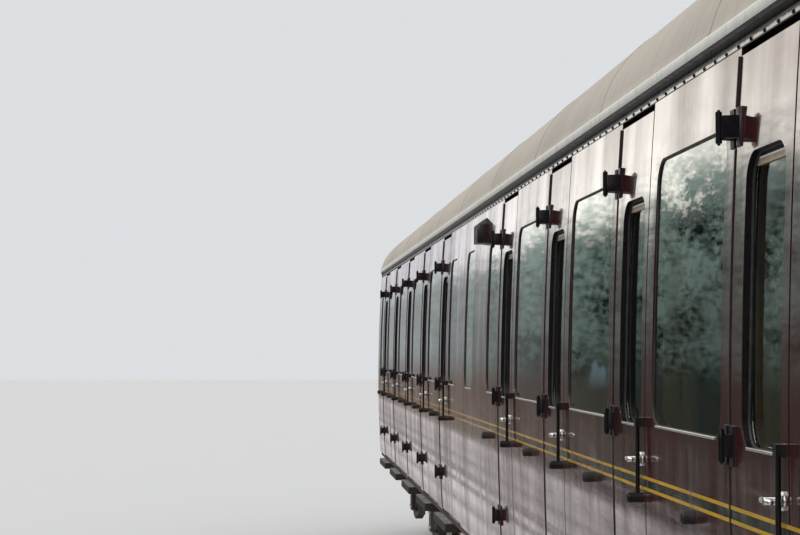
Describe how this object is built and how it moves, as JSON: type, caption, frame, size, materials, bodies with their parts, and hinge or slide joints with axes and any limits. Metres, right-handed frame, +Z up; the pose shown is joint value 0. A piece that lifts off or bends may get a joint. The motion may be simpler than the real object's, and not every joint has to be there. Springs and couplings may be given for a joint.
{
  "type": "railway passenger coach",
  "caption": "Slam-door railway passenger coach with a hinged door to every bay, gangwayed ends, footsteps and two four-wheeled bogies.",
  "frame": {"origin": "on the centre line, half way between the ends, at the lowest point of the wheel flanges", "axes": "+X forward, +Y the left side, +Z up"},
  "size_m": [20.465, 2.9476, 3.898],
  "materials": {
    "body_maroon": "gloss coach paint",
    "roof_paint": "weathered satin",
    "end_paint": "satin",
    "window_glass": "clear",
    "hardware_dark": "gloss",
    "stop_rubber": "matte",
    "bellows_rubber": "matte",
    "floor_covering": "satin",
    "partition_panel": "varnished",
    "seat_moquette": "woven",
    "rack_metal": "satin",
    "frame_black": "dusty matte",
    "step_board": "worn",
    "bogie_black": "dusty matte",
    "wheel_steel": "worn tread"
  },
  "bodies": {
    "coach_body": {"roof": "roof_paint", "end_walls": "end_paint", "side_panels_left": "body_maroon", "side_panels_right": "body_maroon", "window_glass": "window_glass", "floor": "floor_covering", "partitions": "partition_panel", "seats": "seat_moquette", "luggage_racks": "rack_metal", "underframe": "frame_black", "underfloor_equipment": "frame_black", "footsteps": "step_board", "buffers_and_drawgear": "frame_black", "gangways": "bellows_rubber", "hinge_brackets": "hardware_dark", "door_stops": "stop_rubber"},
    "door_left_1": {"door_left_1": "body_maroon", "door_left_1_glass": "window_glass"},
    "door_right_1": {"door_right_1": "body_maroon", "door_right_1_glass": "window_glass"},
    "door_left_2": {"door_left_2": "body_maroon", "door_left_2_glass": "window_glass"},
    "door_right_2": {"door_right_2": "body_maroon", "door_right_2_glass": "window_glass"},
    "door_left_3": {"door_left_3": "body_maroon", "door_left_3_glass": "window_glass"},
    "door_right_3": {"door_right_3": "body_maroon", "door_right_3_glass": "window_glass"},
    "door_left_4": {"door_left_4": "body_maroon", "door_left_4_glass": "window_glass"},
    "door_right_4": {"door_right_4": "body_maroon", "door_right_4_glass": "window_glass"},
    "door_left_5": {"door_left_5": "body_maroon", "door_left_5_glass": "window_glass"},
    "door_right_5": {"door_right_5": "body_maroon", "door_right_5_glass": "window_glass"},
    "door_left_6": {"door_left_6": "body_maroon", "door_left_6_glass": "window_glass"},
    "door_right_6": {"door_right_6": "body_maroon", "door_right_6_glass": "window_glass"},
    "door_left_7": {"door_left_7": "body_maroon", "door_left_7_glass": "window_glass"},
    "door_right_7": {"door_right_7": "body_maroon", "door_right_7_glass": "window_glass"},
    "door_left_8": {"door_left_8": "body_maroon", "door_left_8_glass": "window_glass"},
    "door_right_8": {"door_right_8": "body_maroon", "door_right_8_glass": "window_glass"},
    "door_left_9": {"door_left_9": "body_maroon", "door_left_9_glass": "window_glass"},
    "door_right_9": {"door_right_9": "body_maroon", "door_right_9_glass": "window_glass"},
    "bogie_front": {"bogie_front_frame": "bogie_black", "bogie_front_axleboxes": "bogie_black"},
    "wheelset_front_leading": {"wheelset_front_leading": "wheel_steel"},
    "wheelset_front_trailing": {"wheelset_front_trailing": "wheel_steel"},
    "bogie_rear": {"bogie_rear_frame": "bogie_black", "bogie_rear_axleboxes": "bogie_black"},
    "wheelset_rear_leading": {"wheelset_rear_leading": "wheel_steel"},
    "wheelset_rear_trailing": {"wheelset_rear_trailing": "wheel_steel"}
  },
  "joints": [
    {"name": "door_left_1_hinge", "type": "hinge", "parent": "coach_body", "child": "door_left_1", "pos_m": [8.706, 1.438, 2.028], "axis": [0, 0, -1], "range_deg": [0, 172]},
    {"name": "door_right_1_hinge", "type": "hinge", "parent": "coach_body", "child": "door_right_1", "pos_m": [8.094, -1.438, 2.028], "axis": [0, 0, -1], "range_deg": [0, 172]},
    {"name": "door_left_2_hinge", "type": "hinge", "parent": "coach_body", "child": "door_left_2", "pos_m": [6.856, 1.438, 2.028], "axis": [0, 0, -1], "range_deg": [0, 172]},
    {"name": "door_right_2_hinge", "type": "hinge", "parent": "coach_body", "child": "door_right_2", "pos_m": [6.244, -1.438, 2.028], "axis": [0, 0, -1], "range_deg": [0, 172]},
    {"name": "door_left_3_hinge", "type": "hinge", "parent": "coach_body", "child": "door_left_3", "pos_m": [5.006, 1.438, 2.028], "axis": [0, 0, -1], "range_deg": [0, 172]},
    {"name": "door_right_3_hinge", "type": "hinge", "parent": "coach_body", "child": "door_right_3", "pos_m": [4.394, -1.438, 2.028], "axis": [0, 0, -1], "range_deg": [0, 172]},
    {"name": "door_left_4_hinge", "type": "hinge", "parent": "coach_body", "child": "door_left_4", "pos_m": [3.156, 1.438, 2.028], "axis": [0, 0, -1], "range_deg": [0, 172]},
    {"name": "door_right_4_hinge", "type": "hinge", "parent": "coach_body", "child": "door_right_4", "pos_m": [2.544, -1.438, 2.028], "axis": [0, 0, -1], "range_deg": [0, 172]},
    {"name": "door_left_5_hinge", "type": "hinge", "parent": "coach_body", "child": "door_left_5", "pos_m": [1.306, 1.438, 2.028], "axis": [0, 0, -1], "range_deg": [0, 172]},
    {"name": "door_right_5_hinge", "type": "hinge", "parent": "coach_body", "child": "door_right_5", "pos_m": [0.694, -1.438, 2.028], "axis": [0, 0, -1], "range_deg": [0, 172]},
    {"name": "door_left_6_hinge", "type": "hinge", "parent": "coach_body", "child": "door_left_6", "pos_m": [-2.544, 1.438, 2.028], "axis": [0, 0, -1], "range_deg": [0, 172]},
    {"name": "door_right_6_hinge", "type": "hinge", "parent": "coach_body", "child": "door_right_6", "pos_m": [-3.156, -1.438, 2.028], "axis": [0, 0, -1], "range_deg": [0, 172]},
    {"name": "door_left_7_hinge", "type": "hinge", "parent": "coach_body", "child": "door_left_7", "pos_m": [-4.394, 1.438, 2.028], "axis": [0, 0, -1], "range_deg": [0, 172]},
    {"name": "door_right_7_hinge", "type": "hinge", "parent": "coach_body", "child": "door_right_7", "pos_m": [-5.006, -1.438, 2.028], "axis": [0, 0, -1], "range_deg": [0, 172]},
    {"name": "door_left_8_hinge", "type": "hinge", "parent": "coach_body", "child": "door_left_8", "pos_m": [-6.244, 1.438, 2.028], "axis": [0, 0, -1], "range_deg": [0, 172]},
    {"name": "door_right_8_hinge", "type": "hinge", "parent": "coach_body", "child": "door_right_8", "pos_m": [-6.856, -1.438, 2.028], "axis": [0, 0, -1], "range_deg": [0, 172]},
    {"name": "door_left_9_hinge", "type": "hinge", "parent": "coach_body", "child": "door_left_9", "pos_m": [-8.094, 1.438, 2.028], "axis": [0, 0, -1], "range_deg": [0, 172]},
    {"name": "door_right_9_hinge", "type": "hinge", "parent": "coach_body", "child": "door_right_9", "pos_m": [-8.706, -1.438, 2.028], "axis": [0, 0, -1], "range_deg": [0, 172]},
    {"name": "bogie_front_swivel", "type": "hinge", "parent": "coach_body", "child": "bogie_front", "pos_m": [7.085, 0, 0.828], "axis": [0, 0, 1], "range_deg": [-5, 5]},
    {"name": "wheelset_front_leading_roll", "type": "hinge", "parent": "bogie_front", "child": "wheelset_front_leading", "pos_m": [8.38, 0, 0.485], "axis": [0, 1, 0], "continuous": true},
    {"name": "wheelset_front_trailing_roll", "type": "hinge", "parent": "bogie_front", "child": "wheelset_front_trailing", "pos_m": [5.79, 0, 0.485], "axis": [0, 1, 0], "continuous": true},
    {"name": "bogie_rear_swivel", "type": "hinge", "parent": "coach_body", "child": "bogie_rear", "pos_m": [-7.085, 0, 0.828], "axis": [0, 0, 1], "range_deg": [-5, 5]},
    {"name": "wheelset_rear_leading_roll", "type": "hinge", "parent": "bogie_rear", "child": "wheelset_rear_leading", "pos_m": [-5.79, 0, 0.485], "axis": [0, 1, 0], "continuous": true},
    {"name": "wheelset_rear_trailing_roll", "type": "hinge", "parent": "bogie_rear", "child": "wheelset_rear_trailing", "pos_m": [-8.38, 0, 0.485], "axis": [0, 1, 0], "continuous": true}
  ]
}
